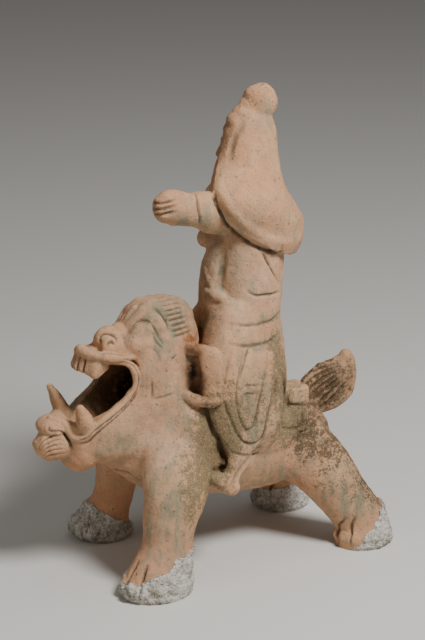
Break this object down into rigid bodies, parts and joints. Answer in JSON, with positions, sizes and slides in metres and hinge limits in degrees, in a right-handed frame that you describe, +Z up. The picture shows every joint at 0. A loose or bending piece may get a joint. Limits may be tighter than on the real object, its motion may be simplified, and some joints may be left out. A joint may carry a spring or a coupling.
{
  "type": "wind lion roof statue",
  "caption": "Terracotta roof-ridge statue: a wide-mouthed lion on braced legs, with tusks, loop ears and a leaf tail, carrying a hooded rider who reaches forward.",
  "frame": {"origin": "on the ground under the middle of the statue's box", "axes": "+Z up from the soles to the hood's knob, -Y the way the lion faces, +X the lion's left side"},
  "size_m": [0.1488, 0.2618, 0.3364],
  "materials": {
    "fired_clay": "unglazed low-fired terracotta, lichen-speckled, with lime mortar on the feet"
  },
  "bodies": {
    "root": {"wind_lion_statue": "fired_clay"}
  },
  "joints": []
}
